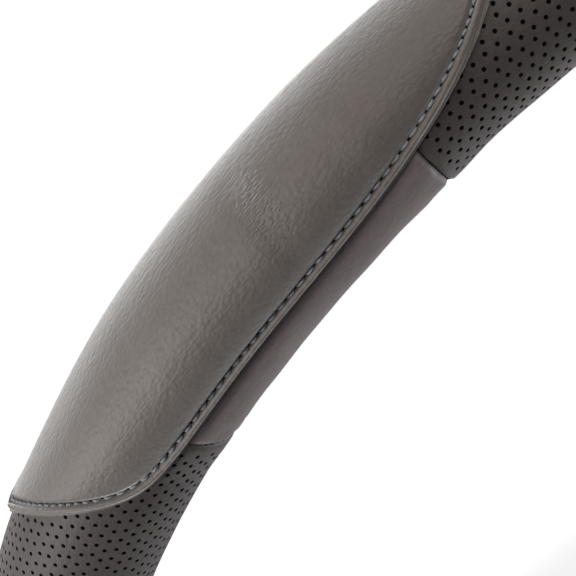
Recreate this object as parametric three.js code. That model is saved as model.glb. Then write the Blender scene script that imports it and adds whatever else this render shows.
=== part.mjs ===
// A wrap-around steering wheel cover, lying on its back: a moulded rubber ring
// of C section, two perforated leather arcs, two plain leather side sections and,
// at three and nine o'clock, a padded grip panel with a folded and stitched edge.
// Millimetres, +Z up. Origin: ring centre, on the surface that the cover lies on.
import * as THREE from 'three';

// Sizes of the ring.
const RING_OUTER_DIAMETER = 396;   // over the perforated leather
const TUBE_DIAMETER = 33.6;        // over the perforated leather
const LEATHER_THICKNESS = 1.3;
const LINER_THICKNESS = 2.0;
const LAYER_GAP = 0.3;             // between one layer and the next
const SEAM_GAP = 0.3;              // between two sections sewn end to end
const FRONT_LIP_ANGLE = 186;       // degrees round the tube, 0 out, 90 front, 270 back
const BACK_LIP_ANGLE = -106;
const LIP_FOLD = 1.5;              // thickness of leather folded over each lip
const RIB_HEIGHT = 0.7;            // anti-slip ribs inside the rubber ring
const RIB_WIDTH = 2.2;
const RIB_COUNT = 4;
const RING_STATIONS = 60;
const TUBE_STEPS = 13;

// Sizes of the side sections and grip panels.
const SEAM_HALF_ANGLE = 12;        // degrees of the ring, each way from its X axis
const GRIP_HALF_ANGLE = 22.3;      // degrees of the ring
const GRIP_SHOULDER_ANGLE = -19;   // round the tube, where the panel's arch begins
const GRIP_CREST_ANGLE = 84;       // round the tube, top of the arch
const GRIP_LEAN = 3;               // degrees of the ring that the crest leans along it
const GRIP_HEM_ANGLE = -105;       // round the tube, plain edge at the back lip
const GRIP_CLEARANCE = 0.4;        // under the panel, over the leather below
const GRIP_THICKNESS = 1.1;
const EDGE_THICKNESS = 0.9;        // folded edge where it meets the leather below
const BEAD_THICKNESS = 1.4;        // crest of the folded edge
const BEAD_WIDTH = 4.2;
const GROOVE_THICKNESS = 0.75;     // left under the stitch line
const GROOVE_INSET = 4.6;          // stitch line in from the edge
const PAD_INSET = 9;               // foam starts this far in from the edge
const PAD_EDGE_RISE = 1.2;         // lift of the panel where the foam starts
const PAD_RISE = 2.4;              // lift of the panel over the middle of the foam
const PAD_BACK_RISE = 1.7;         // lift over the foam at the back
const GRIP_COLUMNS = 10;
const GRIP_ROWS = 12;
const FLAT_LOW_ANGLE = -96;        // the panel lies flat between these two rows
const FLAT_HIGH_ANGLE = -84;

// Sizes that follow.
const TUBE_RADIUS = TUBE_DIAMETER / 2;
const RING_RADIUS = RING_OUTER_DIAMETER / 2 - TUBE_RADIUS;
const LEATHER_INNER = TUBE_RADIUS - LEATHER_THICKNESS;
const LINER_OUTER = LEATHER_INNER - LAYER_GAP;
const LINER_INNER = LINER_OUTER - LINER_THICKNESS;
const GRIP_INNER = TUBE_RADIUS + GRIP_CLEARANCE;
const GRIP_ARCH = GRIP_CREST_ANGLE - GRIP_SHOULDER_ANGLE;
const CORNER_TURN = 26;            // degrees along the arch, where side becomes top
const BACK_RADIUS = GRIP_INNER + GRIP_THICKNESS + PAD_BACK_RISE;
const REST_HEIGHT = BACK_RADIUS * Math.cos(rad((FLAT_HIGH_ANGLE - FLAT_LOW_ANGLE) / 2));

function rad(degrees) {
  return THREE.MathUtils.degToRad(degrees);
}

// Angle, in degrees, that a length along a circle of the given radius spans.
function spanned(length, radius) {
  return THREE.MathUtils.radToDeg(length / radius);
}

// A point of the ring: radius from the tube's centre, angle round the tube and
// angle along the ring, both in degrees.
function ringPoint(radius, tubeAngle, ringAngle) {
  const reach = RING_RADIUS + radius * Math.cos(rad(tubeAngle));
  return new THREE.Vector3(
    reach * Math.cos(rad(ringAngle)),
    reach * Math.sin(rad(ringAngle)),
    REST_HEIGHT + radius * Math.sin(rad(tubeAngle)),
  );
}

// Sections, as [radius, angle round the tube] pairs.
const foldAngle = spanned(LIP_FOLD, LEATHER_INNER);
const linerFront = FRONT_LIP_ANGLE - foldAngle - spanned(LAYER_GAP, LINER_INNER);
const linerBack = BACK_LIP_ANGLE + foldAngle + spanned(LAYER_GAP, LINER_INNER);

function tubeStops(from, to) {
  const stops = [];
  for (let i = 0; i <= TUBE_STEPS; i++) {
    stops.push(THREE.MathUtils.lerp(from, to, i / TUBE_STEPS));
  }
  return stops;
}

// Leather: an outer and an inner arc that share their stops, and a fold at each
// lip that reaches in over the end of the rubber ring.
function leatherSection() {
  const outer = tubeStops(BACK_LIP_ANGLE, FRONT_LIP_ANGLE).map((angle) => [TUBE_RADIUS, angle]);
  const inner = tubeStops(BACK_LIP_ANGLE, FRONT_LIP_ANGLE).slice(1, -1).map((angle) => [LEATHER_INNER, angle]);
  return [
    ...outer,
    [LINER_INNER, FRONT_LIP_ANGLE],
    [LINER_INNER, FRONT_LIP_ANGLE - foldAngle],
    [LEATHER_INNER, FRONT_LIP_ANGLE - foldAngle],
    ...inner.reverse(),
    [LEATHER_INNER, BACK_LIP_ANGLE + foldAngle],
    [LINER_INNER, BACK_LIP_ANGLE + foldAngle],
    [LINER_INNER, BACK_LIP_ANGLE],
  ];
}

// One anti-slip rib, as a low step on the inner wall.
function ribSteps(angle) {
  const foot = spanned(RIB_WIDTH / 2, LINER_INNER);
  const top = foot * 0.6;
  return [
    [LINER_INNER, angle + foot],
    [LINER_INNER - RIB_HEIGHT, angle + top],
    [LINER_INNER - RIB_HEIGHT, angle - top],
    [LINER_INNER, angle - foot],
  ];
}

function linerSection() {
  const stops = tubeStops(BACK_LIP_ANGLE, FRONT_LIP_ANGLE).slice(1, -1);
  const outer = [linerBack, ...stops, linerFront].map((angle) => [LINER_OUTER, angle]);
  const inner = [];
  for (let i = 0; i < RIB_COUNT; i++) {
    const share = (i + 0.5) / RIB_COUNT;
    inner.push(...ribSteps(THREE.MathUtils.lerp(linerFront, linerBack, share)));
  }
  return [...outer, [LINER_INNER, linerFront], ...inner, [LINER_INNER, linerBack]];
}

// Swept pieces.
// The tube's centre line between two angles along the ring.
class RimArc extends THREE.Curve {
  constructor(from, to) {
    super();
    this.from = from;
    this.to = to;
  }

  getPoint(t) {
    return ringPoint(0, 0, THREE.MathUtils.lerp(this.from, this.to, t));
  }
}

// The rubber ring: its section turned all the way round.
function turnedRing(section) {
  const profile = section.map(([radius, angle]) => new THREE.Vector2(
    RING_RADIUS + radius * Math.cos(rad(angle)),
    radius * Math.sin(rad(angle)),
  ));
  profile.push(profile[0].clone());
  const geometry = new THREE.LatheGeometry(profile, RING_STATIONS);
  geometry.rotateX(Math.PI / 2);
  geometry.translate(0, 0, REST_HEIGHT);
  return geometry;
}

// A leather section sewn in between two seams. The path's frame puts the shape's
// x towards the back of the ring and its y towards the ring's centre.
function sweptSection(section, from, to) {
  const seam = spanned(SEAM_GAP / 2, RING_RADIUS);
  const outline = section.map(([radius, angle]) => new THREE.Vector2(
    -radius * Math.sin(rad(angle)),
    -radius * Math.cos(rad(angle)),
  ));
  return new THREE.ExtrudeGeometry(new THREE.Shape(outline), {
    steps: Math.round((to - from) * RING_STATIONS / 360),
    curveSegments: 1,
    bevelEnabled: false,
    extrudePath: new RimArc(from + seam, to - seam),
  });
}

// Grip panels.
// A side of the panel, or its arched top, drawn in by an inset. The arch is half
// an ellipse on the tube's surface, whose crest leans along the ring.
function archPoint(turn, inset) {
  const reach = RING_RADIUS + TUBE_RADIUS;
  const half = GRIP_HALF_ANGLE - spanned(inset, reach);
  const rise = GRIP_ARCH - spanned(inset, TUBE_RADIUS);
  const sine = Math.sin(rad(turn));
  return {
    ring: half * Math.cos(rad(turn)) + GRIP_LEAN * sine ** 3,
    tube: GRIP_SHOULDER_ANGLE + rise * sine,
  };
}

function sidePoint(side, tube, inset) {
  if (tube <= GRIP_SHOULDER_ANGLE) {
    const straight = archPoint(0, inset);
    return { ring: side * straight.ring, tube };
  }
  const rise = GRIP_ARCH - spanned(inset, TUBE_RADIUS);
  const turn = THREE.MathUtils.radToDeg(Math.asin((tube - GRIP_SHOULDER_ANGLE) / rise));
  return archPoint(side > 0 ? turn : 180 - turn, inset);
}

// Angles round the tube of the panel's rows along its two sides.
function sideRows(inset) {
  const hem = GRIP_HEM_ANGLE + spanned(inset * 0.2, TUBE_RADIUS);
  const corner = archPoint(CORNER_TURN, inset).tube;
  const rows = [hem, FLAT_LOW_ANGLE];
  for (let j = 2; j <= GRIP_ROWS; j++) {
    rows.push(THREE.MathUtils.lerp(FLAT_HIGH_ANGLE, corner, (j - 2) / (GRIP_ROWS - 2)));
  }
  return rows;
}

// One point of the panel's grid: columns run round the tube and rows along the
// ring. Between its four borders the grid is blended, and the rows up to the
// flat back stay at one angle round the tube.
function gridPoint(column, row, inset) {
  const rows = sideRows(inset);
  const across = column / GRIP_COLUMNS;
  const up = Math.max(0, (row - 2) / (GRIP_ROWS - 2));
  const left = sidePoint(-1, rows[row], inset);
  const right = sidePoint(1, rows[row], inset);
  const top = archPoint(THREE.MathUtils.lerp(180 - CORNER_TURN, CORNER_TURN, across), inset);
  const cornerLeft = archPoint(180 - CORNER_TURN, inset);
  const cornerRight = archPoint(CORNER_TURN, inset);
  const chord = THREE.MathUtils.lerp(cornerLeft.ring, cornerRight.ring, across);
  return {
    ring: THREE.MathUtils.lerp(left.ring, right.ring, across) + up * (top.ring - chord),
    tube: rows[row] + up * (top.tube - cornerLeft.tube),
  };
}

// Grid positions along the panel's border, once round.
function borderCells() {
  const cells = [];
  for (let c = 0; c < GRIP_COLUMNS; c++) cells.push([c, 0]);
  for (let r = 0; r < GRIP_ROWS; r++) cells.push([GRIP_COLUMNS, r]);
  for (let c = GRIP_COLUMNS; c > 0; c--) cells.push([c, GRIP_ROWS]);
  for (let r = GRIP_ROWS; r > 0; r--) cells.push([0, r]);
  return cells;
}

// Lift of the panel over its foam: a flat crown that eases down to the border.
function padRise(column, row) {
  const along = Math.min(column, GRIP_COLUMNS - column) / 3;
  const ease = THREE.MathUtils.smoothstep(along, 0, 1);
  const high = row <= 3 ? PAD_BACK_RISE : PAD_RISE;
  const down = THREE.MathUtils.smoothstep(GRIP_ROWS - row, 0, 3);
  const full = THREE.MathUtils.lerp(PAD_EDGE_RISE, high, ease);
  const crown = row === 0 ? PAD_EDGE_RISE : full;
  return THREE.MathUtils.lerp(PAD_EDGE_RISE, crown, down);
}

// Collects the faces of one closed skin. Mirroring swaps each face's turn.
class Skin {
  constructor(mirrored) {
    this.mirrored = mirrored;
    this.positions = [];
    this.indices = [];
  }

  point(radius, place) {
    const at = ringPoint(radius, place.tube, place.ring);
    this.positions.push(this.mirrored ? -at.x : at.x, at.y, at.z);
    return this.positions.length / 3 - 1;
  }

  face(a, b, c) {
    if (this.mirrored) this.indices.push(a, c, b);
    else this.indices.push(a, b, c);
  }

  quad(a, b, c, d) {
    this.face(a, b, c);
    this.face(a, c, d);
  }

  // Joins two loops of equal length, the first outside the second.
  band(outer, inner) {
    for (let i = 0; i < outer.length; i++) {
      const next = (i + 1) % outer.length;
      this.quad(outer[i], outer[next], inner[next], inner[i]);
    }
  }

  loop(radius, inset) {
    return borderCells().map(([c, r]) => this.point(radius, gridPoint(c, r, inset)));
  }

  // A grid skin at the given height over each cell, its border loop returned.
  sheet(height, inset, outward) {
    const at = [];
    for (let r = 0; r <= GRIP_ROWS; r++) {
      at.push([]);
      for (let c = 0; c <= GRIP_COLUMNS; c++) at[r].push(this.point(height(c, r), gridPoint(c, r, inset)));
    }
    for (let r = 0; r < GRIP_ROWS; r++) {
      for (let c = 0; c < GRIP_COLUMNS; c++) {
        const [a, b, d, e] = [at[r][c], at[r][c + 1], at[r + 1][c + 1], at[r + 1][c]];
        if (outward) {
          this.quad(a, b, d, e);
        } else {
          this.face(d, b, a);
          this.face(e, d, a);
        }
      }
    }
    return borderCells().map(([c, r]) => at[r][c]);
  }

  geometry() {
    const geometry = new THREE.BufferGeometry();
    geometry.setAttribute('position', new THREE.Float32BufferAttribute(this.positions, 3));
    geometry.setIndex(this.indices);
    geometry.computeVertexNormals();
    return geometry;
  }
}

// The panel: a folded bead round its edge, the groove that the stitches lie in,
// and the padded middle. Its under side follows at the leather's thickness.
function gripGeometry(mirrored) {
  const skin = new Skin(mirrored);
  const crown = skin.sheet((c, r) => GRIP_INNER + GRIP_THICKNESS + padRise(c, r), PAD_INSET, true);
  const steps = [
    [0, GRIP_INNER],
    [0, GRIP_INNER + EDGE_THICKNESS],
    [BEAD_WIDTH * 0.3, GRIP_INNER + BEAD_THICKNESS],
    [BEAD_WIDTH * 0.75, GRIP_INNER + BEAD_THICKNESS],
    [GROOVE_INSET, GRIP_INNER + GROOVE_THICKNESS],
    [GROOVE_INSET + 1.2, GRIP_INNER + GRIP_THICKNESS + 0.35],
  ];
  const loops = steps.map(([inset, radius]) => skin.loop(radius, inset));
  for (let i = 0; i + 1 < loops.length; i++) skin.band(loops[i], loops[i + 1]);
  skin.band(loops[loops.length - 1], crown);
  const under = skin.sheet((c, r) => GRIP_INNER + padRise(c, r), PAD_INSET, false);
  const foot = skin.loop(GRIP_INNER, GROOVE_INSET + 1.2);
  skin.band(under, foot);
  skin.band(foot, loops[0]);
  return skin.geometry();
}

// The foam under the panel, clear of it and of the leather below.
function padGeometry(mirrored) {
  const skin = new Skin(mirrored);
  const top = skin.sheet((c, r) => GRIP_INNER + padRise(c, r) - LAYER_GAP, PAD_INSET, true);
  const foot = skin.sheet(() => GRIP_INNER, PAD_INSET, false);
  skin.band(foot, top);
  return skin.geometry();
}

// Materials and assembly.
const rubber = new THREE.MeshStandardMaterial({ color: 0x1c1b1a, roughness: 0.85, metalness: 0 });
const perforated = new THREE.MeshStandardMaterial({ color: 0x58504c, roughness: 0.6, metalness: 0 });
const plain = new THREE.MeshStandardMaterial({ color: 0x5a5054, roughness: 0.58, metalness: 0 });
const grip = new THREE.MeshStandardMaterial({ color: 0x675e59, roughness: 0.5, metalness: 0 });
const foam = new THREE.MeshStandardMaterial({ color: 0x8a867e, roughness: 0.95, metalness: 0 });

function piece(name, geometry, material) {
  const mesh = new THREE.Mesh(geometry, material);
  mesh.name = name;
  return mesh;
}

function ring() {
  const group = new THREE.Group();
  const cut = SEAM_HALF_ANGLE;
  const leather = leatherSection();
  group.add(
    piece('liner_ring', turnedRing(linerSection()), rubber),
    piece('leather_top', sweptSection(leather, cut, 180 - cut), perforated),
    piece('leather_bottom', sweptSection(leather, 180 + cut, 360 - cut), perforated),
    piece('side_right', sweptSection(leather, -cut, cut), plain),
    piece('side_left', sweptSection(leather, 180 - cut, 180 + cut), plain),
  );
  return group;
}

function grips() {
  const group = new THREE.Group();
  group.add(
    piece('grip_right', gripGeometry(false), grip),
    piece('grip_left', gripGeometry(true), grip),
    piece('pad_right', padGeometry(false), foam),
    piece('pad_left', padGeometry(true), foam),
  );
  return group;
}

const cover = new THREE.Group();
cover.add(ring(), grips());

export default cover;
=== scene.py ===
"""Looks for a wrap-around steering wheel cover that lies on its back.

The cover is a rubber ring of C section, wrapped in two perforated leather arcs
and two plain leather sides, with a padded and stitched grip panel at three and
nine o'clock. A place on it is given by a radius from the tube's centre, an angle
round the tube (0 outwards, 90 at the front) and an angle along the ring.
"""

import logging
import math
from dataclasses import dataclass, field
from enum import Enum

import bpy
import numpy as np
from mathutils import Matrix, Vector


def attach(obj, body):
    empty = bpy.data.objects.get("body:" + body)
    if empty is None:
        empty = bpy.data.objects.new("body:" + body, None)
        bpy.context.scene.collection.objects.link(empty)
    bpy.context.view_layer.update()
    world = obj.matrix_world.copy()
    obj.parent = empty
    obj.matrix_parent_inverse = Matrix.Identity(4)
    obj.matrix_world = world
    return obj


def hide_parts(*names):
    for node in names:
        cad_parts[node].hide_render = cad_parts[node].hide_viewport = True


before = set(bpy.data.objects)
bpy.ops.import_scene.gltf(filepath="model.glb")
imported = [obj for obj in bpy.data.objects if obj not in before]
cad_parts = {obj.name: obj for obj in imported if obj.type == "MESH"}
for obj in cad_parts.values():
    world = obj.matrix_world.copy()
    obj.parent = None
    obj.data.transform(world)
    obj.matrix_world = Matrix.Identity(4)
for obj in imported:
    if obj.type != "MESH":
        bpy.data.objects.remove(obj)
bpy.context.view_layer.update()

LOG = logging.getLogger("wheel_cover")
MM = 0.001
FRAME_PIXELS = 576
Array = np.ndarray
Band = tuple[float, float]


class Side(Enum):
    """Which half of the ring a piece lies in; the left mirrors the right."""

    RIGHT = 1
    LEFT = -1


class Arc(Enum):
    """Where along the ring a leather section's middle lies, in degrees."""

    TOP = 90.0
    BOTTOM = 270.0
    RIGHT = 0.0
    LEFT = 180.0


def smoothstep(value: Array | float, low: float, high: float) -> Array:
    """Eases from 0 at low to 1 at high: 3 t squared less 2 t cubed.

    Args:
        value: Where to read the curve.
        low: Where it leaves 0.
        high: Where it reaches 1.

    Returns:
        The eased share, from 0 to 1.
    """
    t = np.clip((value - low) / (high - low), 0.0, 1.0)
    return t * t * (3.0 - 2.0 * t)


def bump(value: Array | float, centre: float, width: float) -> Array:
    """A bell of height 1: e to the minus square of the distance over the width."""
    return np.exp(-(((value - centre) / width) ** 2))


def soft_noise(u: Array, v: Array, seed: int, waves: int = 7) -> Array:
    """Sum of a few seeded plane waves over two lengths, between about -1 and 1.

    Args:
        u: First coordinate, in wavelengths.
        v: Second coordinate, in wavelengths.
        seed: Picks the waves' directions and phases.
        waves: How many waves are added.

    Returns:
        The summed waves, scaled by the square root of their number.
    """
    draw = np.random.default_rng(seed)
    total = np.zeros(np.broadcast(u, v).shape)
    for _ in range(waves):
        turn, phase, pitch = draw.uniform(0.0, 2.0 * np.pi, 2).tolist() + [draw.uniform(0.6, 1.5)]
        total = total + np.sin(2.0 * np.pi * pitch * (u * np.cos(turn) + v * np.sin(turn)) + phase)
    return total / math.sqrt(waves)


def border(grid: Array) -> Array:
    """The grid's border once round: first row, right side, last row, left side."""
    return np.concatenate([grid[0, :-1], grid[:-1, -1], grid[-1, :0:-1], grid[:0:-1, 0]])


@dataclass(frozen=True)
class RingForm:
    """The ring's own sizes, in metres and degrees, as its solids have them."""

    centre_radius: float = 181.2 * MM
    tube_radius: float = 16.8 * MM
    leather: float = 1.3 * MM
    gap: float = 0.3 * MM
    liner: float = 2.0 * MM
    lip_fold: float = 1.5 * MM
    front_lip: float = 186.0
    back_lip: float = -106.0
    rest_height: float = 20.0 * MM * math.cos(math.radians(6.0))
    seam_half: float = 11.6

    def place(self, radius: Array, tube: Array, ring: Array) -> Array:
        """Points of the ring.

        The reach from the ring's axis is the centre radius plus the radius times
        the cosine of the tube angle; the height is the radius times its sine.

        Args:
            radius: Distance from the tube's centre, in metres.
            tube: Angle round the tube, in radians.
            ring: Angle along the ring, in radians.

        Returns:
            Positions, with x, y and z last.
        """
        radius, tube, ring = np.broadcast_arrays(radius, tube, ring)
        reach = self.centre_radius + radius * np.cos(tube)
        height = self.rest_height + radius * np.sin(tube)
        return np.stack([reach * np.cos(ring), reach * np.sin(ring), height], axis=-1)

    @property
    def leather_inner(self) -> float:
        """Radius of the leather's inner face."""
        return self.tube_radius - self.leather

    @property
    def liner_outer(self) -> float:
        """Radius of the rubber's outer face."""
        return self.leather_inner - self.gap

    @property
    def liner_inner(self) -> float:
        """Radius of the rubber's bore."""
        return self.liner_outer - self.liner


FORM = RingForm()


@dataclass
class Skin:
    """Vertices and faces of one piece, gathered as whole arrays.

    Its rims are the points whose shared edges stay sharp: those of the punched
    holes and of the panel's own edge.
    """

    points: list[Array] = field(default_factory=list)
    surface: list[Array] = field(default_factory=list)
    faces: list[tuple[Array, int]] = field(default_factory=list)
    rims: list[Array] = field(default_factory=list)
    count: int = 0

    def add_points(self, points: Array, surface: Array) -> Array:
        """Adds points and gives back their numbers in the same grid shape.

        Args:
            points: Positions, with x, y and z last.
            surface: The lengths along the ring and round the tube of each point.

        Returns:
            The numbers of the new points.
        """
        shape = points.shape[:-1]
        size = int(np.prod(shape))
        self.points.append(points.reshape(size, 3))
        self.surface.append(np.broadcast_to(surface, shape + (2,)).reshape(size, 2))
        numbers = np.arange(self.count, self.count + size).reshape(shape)
        self.count += size
        return numbers

    def add_places(self, radius: Array, tube: Array, ring: Array) -> Array:
        """Adds points given by radius, tube angle and ring angle, in metres and radians.

        Their surface lengths run along the ring and round the tube.

        Args:
            radius: Distance from the tube's centre.
            tube: Angle round the tube.
            ring: Angle along the ring.

        Returns:
            The numbers of the new points.
        """
        lengths = np.stack(np.broadcast_arrays(ring * FORM.centre_radius, tube * FORM.tube_radius), axis=-1)
        return self.add_points(FORM.place(radius, tube, ring), lengths)

    def add_faces(self, corners: Array, slot: int = 0) -> None:
        """Adds faces given as one row of corner numbers each.

        Args:
            corners: Corner numbers, one face in each row.
            slot: Which of the piece's materials they take.
        """
        self.faces.append((corners.reshape(-1, corners.shape[-1]), slot))

    def add_grid(self, grid: Array, slot: int = 0) -> None:
        """Fills a grid of points, rows round the tube and columns along the ring."""
        quads = np.stack([grid[:-1, :-1], grid[:-1, 1:], grid[1:, 1:], grid[1:, :-1]], axis=-1)
        self.add_faces(quads, slot)

    def add_loops(self, outer: Array, inner: Array, slot: int = 0) -> None:
        """Joins two closed loops of equal length, the first outside the second."""
        quads = np.stack([outer, np.roll(outer, -1), np.roll(inner, -1), inner], axis=-1)
        self.add_faces(quads, slot)

    def add_tubes(self, grid: Array) -> None:
        """Closes tubes, one in each first row: stops along them, then points round."""
        after = np.roll(grid, -1, axis=2)
        self.add_faces(np.stack([grid[:, :-1], grid[:, 1:], after[:, 1:], after[:, :-1]], axis=-1))
        self.add_faces(grid[:, 0, :])
        self.add_faces(grid[:, -1, ::-1])

    def build(self, name: str, materials: list[bpy.types.Material], side: Side = Side.RIGHT) -> bpy.types.Object:
        """Makes the mesh object, smooth but for its rims.

        Args:
            name: The piece's name.
            materials: Its materials, in the order of the face slots.
            side: LEFT mirrors the points in x and turns each face round.

        Returns:
            The new object, linked to the scene.
        """
        points = np.concatenate(self.points)
        surface = np.concatenate(self.surface)
        rows = [corners[:, ::-1] if side is Side.LEFT else corners for corners, _ in self.faces]
        if side is Side.LEFT:
            points = points * np.array([-1.0, 1.0, 1.0])
        sizes = np.concatenate([np.full(len(row), row.shape[1]) for row in rows])
        slots = np.concatenate([np.full(len(row), slot) for row, (_, slot) in zip(rows, self.faces)])
        corners = np.concatenate([row.ravel() for row in rows])
        mesh = bpy.data.meshes.new(name)
        mesh.vertices.add(len(points))
        mesh.vertices.foreach_set("co", points.astype(np.float32).ravel())
        mesh.loops.add(len(corners))
        mesh.loops.foreach_set("vertex_index", corners.astype(np.int32))
        mesh.polygons.add(len(sizes))
        mesh.polygons.foreach_set("loop_start", np.concatenate([[0], np.cumsum(sizes)[:-1]]).astype(np.int32))
        mesh.polygons.foreach_set("material_index", slots.astype(np.int32))
        mesh.polygons.foreach_set("use_smooth", np.ones(len(sizes), dtype=bool))
        mesh.update(calc_edges=True)
        layer = mesh.uv_layers.new(name="surface")
        layer.uv.foreach_set("vector", surface[corners].astype(np.float32).ravel())
        if self.rims:
            on_rim = np.zeros(len(points), dtype=bool)
            on_rim[np.concatenate([rim.ravel() for rim in self.rims])] = True
            ends = np.empty(len(mesh.edges) * 2, dtype=np.int32)
            mesh.edges.foreach_get("vertices", ends)
            sharp = on_rim[ends.reshape(-1, 2)].all(axis=1)
            mesh.attributes.new("sharp_edge", "BOOLEAN", "EDGE").data.foreach_set("value", sharp)
        for material in materials:
            mesh.materials.append(material)
        mesh.validate()
        made = bpy.data.objects.new(name, mesh)
        bpy.context.scene.collection.objects.link(made)
        return made


Socket = bpy.types.NodeSocket
Colour = tuple[float, float, float]


def opaque(colour: Colour, factor: float = 1.0) -> tuple[float, ...]:
    """A colour times a factor, with full alpha."""
    return (*(factor * value for value in colour), 1.0)


@dataclass
class Graph:
    """A node tree, with short calls that add nodes and feed their inputs."""

    tree: bpy.types.NodeTree

    @classmethod
    def of_material(cls, name: str) -> tuple["Graph", bpy.types.Material, bpy.types.bpy_prop_collection]:
        """Starts a material.

        Args:
            name: The material's name.

        Returns:
            Its graph, the material and the inputs of its Principled shader.
        """
        material = bpy.data.materials.new(name)
        material.use_nodes = True
        return cls(material.node_tree), material, material.node_tree.nodes["Principled BSDF"].inputs

    def feed(self, socket: Socket, value: object) -> None:
        """Links a socket to another one, or sets it to a plain value."""
        if isinstance(value, Socket):
            self.tree.links.new(value, socket)
        else:
            socket.default_value = value

    def add(self, kind: str, feeds: dict[str | int, object] | None = None, **settings: object) -> bpy.types.Node:
        """Adds one shader node.

        Args:
            kind: Its type, without the leading ShaderNode.
            feeds: Sockets or values for its inputs, by name or number.
            settings: Its own properties, set before its inputs.

        Returns:
            The new node.
        """
        node = self.tree.nodes.new("ShaderNode" + kind)
        for label, value in settings.items():
            setattr(node, label, value)
        for label, value in (feeds or {}).items():
            self.feed(node.inputs[label], value)
        return node

    def math(self, operation: str, first: object, second: object) -> Socket:
        """The result of one Math node, fed by sockets or numbers."""
        return self.add("Math", {0: first, 1: second}, operation=operation).outputs[0]

    def ramp(
        self, value: Socket, low: float, high: float, start: float = 0.0, end: float = 1.0, kind: str = "SMOOTHSTEP"
    ) -> Socket:
        """A value carried from one range to another.

        Args:
            value: The socket that is read.
            low: Where the result leaves its start.
            high: Where it reaches its end.
            start: The result up to low.
            end: The result from high on.
            kind: How it runs in between.

        Returns:
            The result's socket.
        """
        feeds = {"Value": value, "From Min": low, "From Max": high, "To Min": start, "To Max": end}
        return self.add("MapRange", feeds, interpolation_type=kind).outputs["Result"]

    def mix(self, share: object, first: object, second: object, blend: str = "MIX") -> Socket:
        """Two colours mixed or multiplied, by a share from 0 to 1."""
        feeds = {"Factor": share, "A": first, "B": second}
        return self.add("Mix", feeds, data_type="RGBA", blend_type=blend).outputs["Result"]

    def noise(self, vector: Socket, scale: object, detail: float, dimensions: str = "3D") -> bpy.types.Node:
        """A noise texture, from its place, scale and detail."""
        return self.add("TexNoise", {"Vector": vector, "Scale": scale, "Detail": detail}, noise_dimensions=dimensions)


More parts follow.
